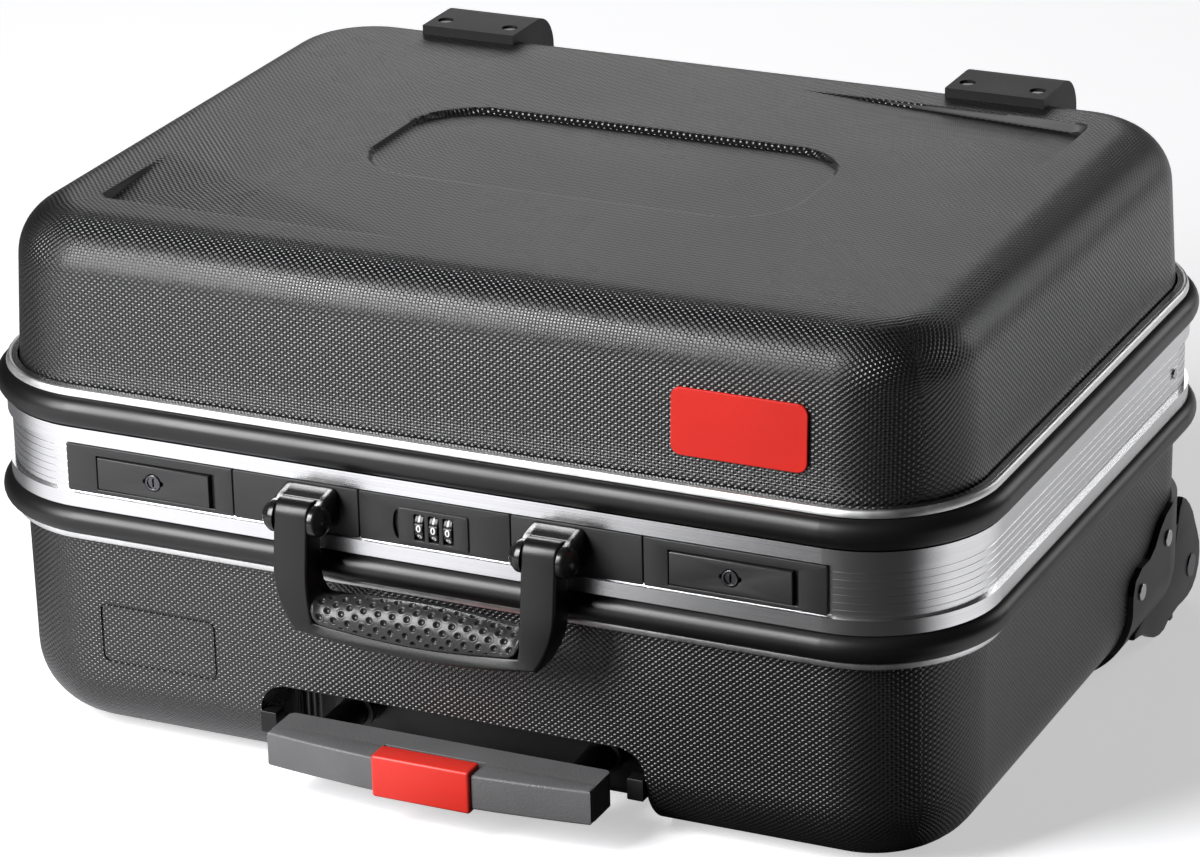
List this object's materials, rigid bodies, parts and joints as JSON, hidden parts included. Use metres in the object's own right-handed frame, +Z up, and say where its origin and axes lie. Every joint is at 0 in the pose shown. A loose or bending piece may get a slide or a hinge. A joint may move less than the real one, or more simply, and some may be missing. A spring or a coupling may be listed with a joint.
{
  "type": "hard tool case",
  "caption": "Rolling hard tool case in black moulded shells and an aluminium frame, with latches, number lock, carry handle, telescopic trolley and wheels.",
  "frame": {"origin": "middle of the case plan on the underside, at the floor", "axes": "+X to the right and -Y to the front of the closed case lying on its base, +Z up"},
  "size_m": [0.5148, 0.4114, 0.267],
  "materials": {
    "shell_plastic": "woven emboss, satin",
    "frame_aluminium": "brushed",
    "bead_rubber": "satin",
    "seal_rubber": "matt",
    "steel_bright": "satin",
    "plate_black": "satin",
    "case_plastic": "matt",
    "key_metal": "satin",
    "dial_plastic": "gloss",
    "handle_plastic": "satin",
    "pad_soft": "satin",
    "tube_aluminium": "anodised",
    "grip_plastic": "fine grain",
    "red_plastic": "satin",
    "wheel_grey": "satin",
    "tyre_black": "matt"
  },
  "bodies": {
    "case_base": {"base_shell": "shell_plastic", "base_frame": "frame_aluminium", "base_bead": "bead_rubber", "frame_seal": "seal_rubber", "frame_rivets": "steel_bright", "latch_plate_left": "plate_black", "latch_plate_right": "plate_black", "latch_cases": "case_plastic", "handle_bracket_left": "handle_plastic", "handle_bracket_right": "handle_plastic", "handle_pins": "steel_bright", "lock_plate": "plate_black", "lock_case": "case_plastic", "dial_axle": "steel_bright", "outer_tubes": "tube_aluminium", "front_guide": "case_plastic", "rear_holder": "case_plastic", "trolley_cover": "shell_plastic", "wheel_bracket_left": "handle_plastic", "wheel_bracket_right": "handle_plastic", "wheel_axles": "steel_bright", "bracket_rivets": "steel_bright", "base_hinge_leaves": "steel_bright", "hinge_pins": "steel_bright", "stay_tracks": "steel_bright"},
    "lid": {"lid_shell": "shell_plastic", "lid_frame": "frame_aluminium", "lid_bead": "bead_rubber", "badge": "red_plastic", "lid_foot_left": "handle_plastic", "lid_foot_right": "handle_plastic", "foot_screws": "steel_bright", "lid_hinge_leaves": "steel_bright", "strikers": "steel_bright", "stay_brackets": "steel_bright"},
    "handle": {"carry_handle": "handle_plastic", "handle_pad": "pad_soft"},
    "lever_left": {"latch_lever_left": "plate_black"},
    "lever_right": {"latch_lever_right": "plate_black"},
    "key_left": {"key_cylinder_left": "key_metal"},
    "key_right": {"key_cylinder_right": "key_metal"},
    "bolt_left": {"latch_bolt_left": "steel_bright"},
    "bolt_right": {"latch_bolt_right": "steel_bright"},
    "number_dial_1": {"dial_1": "dial_plastic"},
    "number_dial_2": {"dial_2": "dial_plastic"},
    "number_dial_3": {"dial_3": "dial_plastic"},
    "trolley_middle": {"middle_tubes": "tube_aluminium", "middle_collars": "case_plastic"},
    "trolley_inner": {"inner_tubes": "tube_aluminium", "trolley_grip": "grip_plastic"},
    "button": {"release_button": "red_plastic", "release_rods": "steel_bright"},
    "wheel_left": {"wheel_hub_left": "wheel_grey", "wheel_tyre_left": "tyre_black"},
    "wheel_right": {"wheel_hub_right": "wheel_grey", "wheel_tyre_right": "tyre_black"},
    "stay_left": {"stay_arm_left": "steel_bright"},
    "stay_right": {"stay_arm_right": "steel_bright"}
  },
  "joints": [
    {"name": "lid_hinge", "type": "hinge", "parent": "case_base", "child": "lid", "pos_m": [0, 0.1913, 0.158], "axis": [-1, 0, 0], "range_deg": [0, 78]},
    {"name": "stay_left_pivot", "type": "hinge", "parent": "lid", "child": "stay_left", "pos_m": [-0.2285, 0.0863, 0.158], "axis": [-1, 0, 0], "range_deg": [-156.5, 0]},
    {"name": "stay_right_pivot", "type": "hinge", "parent": "lid", "child": "stay_right", "pos_m": [0.2285, 0.0863, 0.158], "axis": [-1, 0, 0], "range_deg": [-156.5, 0]},
    {"name": "carry_handle_swing", "type": "hinge", "parent": "case_base", "child": "handle", "pos_m": [0, -0.203, 0.148], "axis": [-1, 0, 0], "range_deg": [0, 100]},
    {"name": "latch_lever_left", "type": "hinge", "parent": "case_base", "child": "lever_left", "pos_m": [-0.1748, -0.1871, 0.144], "axis": [0, 0, -1], "range_deg": [0, 75]},
    {"name": "latch_bolt_left", "type": "slide", "parent": "case_base", "child": "bolt_left", "axis": [-1, 0, 0], "range_m": [0, 0.006]},
    {"name": "key_turn_left", "type": "hinge", "parent": "lever_left", "child": "key_left", "pos_m": [-0.1476, -0.1883, 0.144], "axis": [0, 1, 0], "range_deg": [0, 90]},
    {"name": "latch_lever_right", "type": "hinge", "parent": "case_base", "child": "lever_right", "pos_m": [0.1204, -0.1871, 0.144], "axis": [0, 0, -1], "range_deg": [0, 75]},
    {"name": "latch_bolt_right", "type": "slide", "parent": "case_base", "child": "bolt_right", "axis": [-1, 0, 0], "range_m": [0, 0.006]},
    {"name": "key_turn_right", "type": "hinge", "parent": "lever_right", "child": "key_right", "pos_m": [0.1476, -0.1883, 0.144], "axis": [0, 1, 0], "range_deg": [0, 90]},
    {"name": "dial_1_spin", "type": "hinge", "parent": "case_base", "child": "number_dial_1", "pos_m": [-0.0074, -0.1821, 0.1437], "axis": [1, 0, 0], "continuous": true},
    {"name": "dial_2_spin", "type": "hinge", "parent": "case_base", "child": "number_dial_2", "pos_m": [0, -0.1821, 0.1437], "axis": [1, 0, 0], "continuous": true},
    {"name": "dial_3_spin", "type": "hinge", "parent": "case_base", "child": "number_dial_3", "pos_m": [0.0074, -0.1821, 0.1437], "axis": [1, 0, 0], "continuous": true},
    {"name": "trolley_middle_slide", "type": "slide", "parent": "case_base", "child": "trolley_middle", "axis": [0, -1, 0], "range_m": [0, 0.24]},
    {"name": "trolley_inner_slide", "type": "slide", "parent": "trolley_middle", "child": "trolley_inner", "axis": [0, -1, 0], "range_m": [0, 0.24]},
    {"name": "release_button_push", "type": "slide", "parent": "trolley_inner", "child": "button", "axis": [0, 1, 0], "range_m": [0, 0.004], "stiffness_N_per_m": 800},
    {"name": "wheel_left_spin", "type": "hinge", "parent": "case_base", "child": "wheel_left", "pos_m": [-0.23, 0.171, 0.0206], "axis": [1, 0, 0], "continuous": true},
    {"name": "wheel_right_spin", "type": "hinge", "parent": "case_base", "child": "wheel_right", "pos_m": [0.23, 0.171, 0.0206], "axis": [1, 0, 0], "continuous": true}
  ],
  "couplings": [
    {"joint": "stay_left_pivot", "follows": "lid_hinge", "ratio": -2},
    {"joint": "stay_right_pivot", "follows": "lid_hinge", "ratio": -2},
    {"joint": "latch_bolt_left", "follows": "latch_lever_left", "m_per_rad": 0.00458},
    {"joint": "latch_bolt_right", "follows": "latch_lever_right", "m_per_rad": 0.00458}
  ]
}
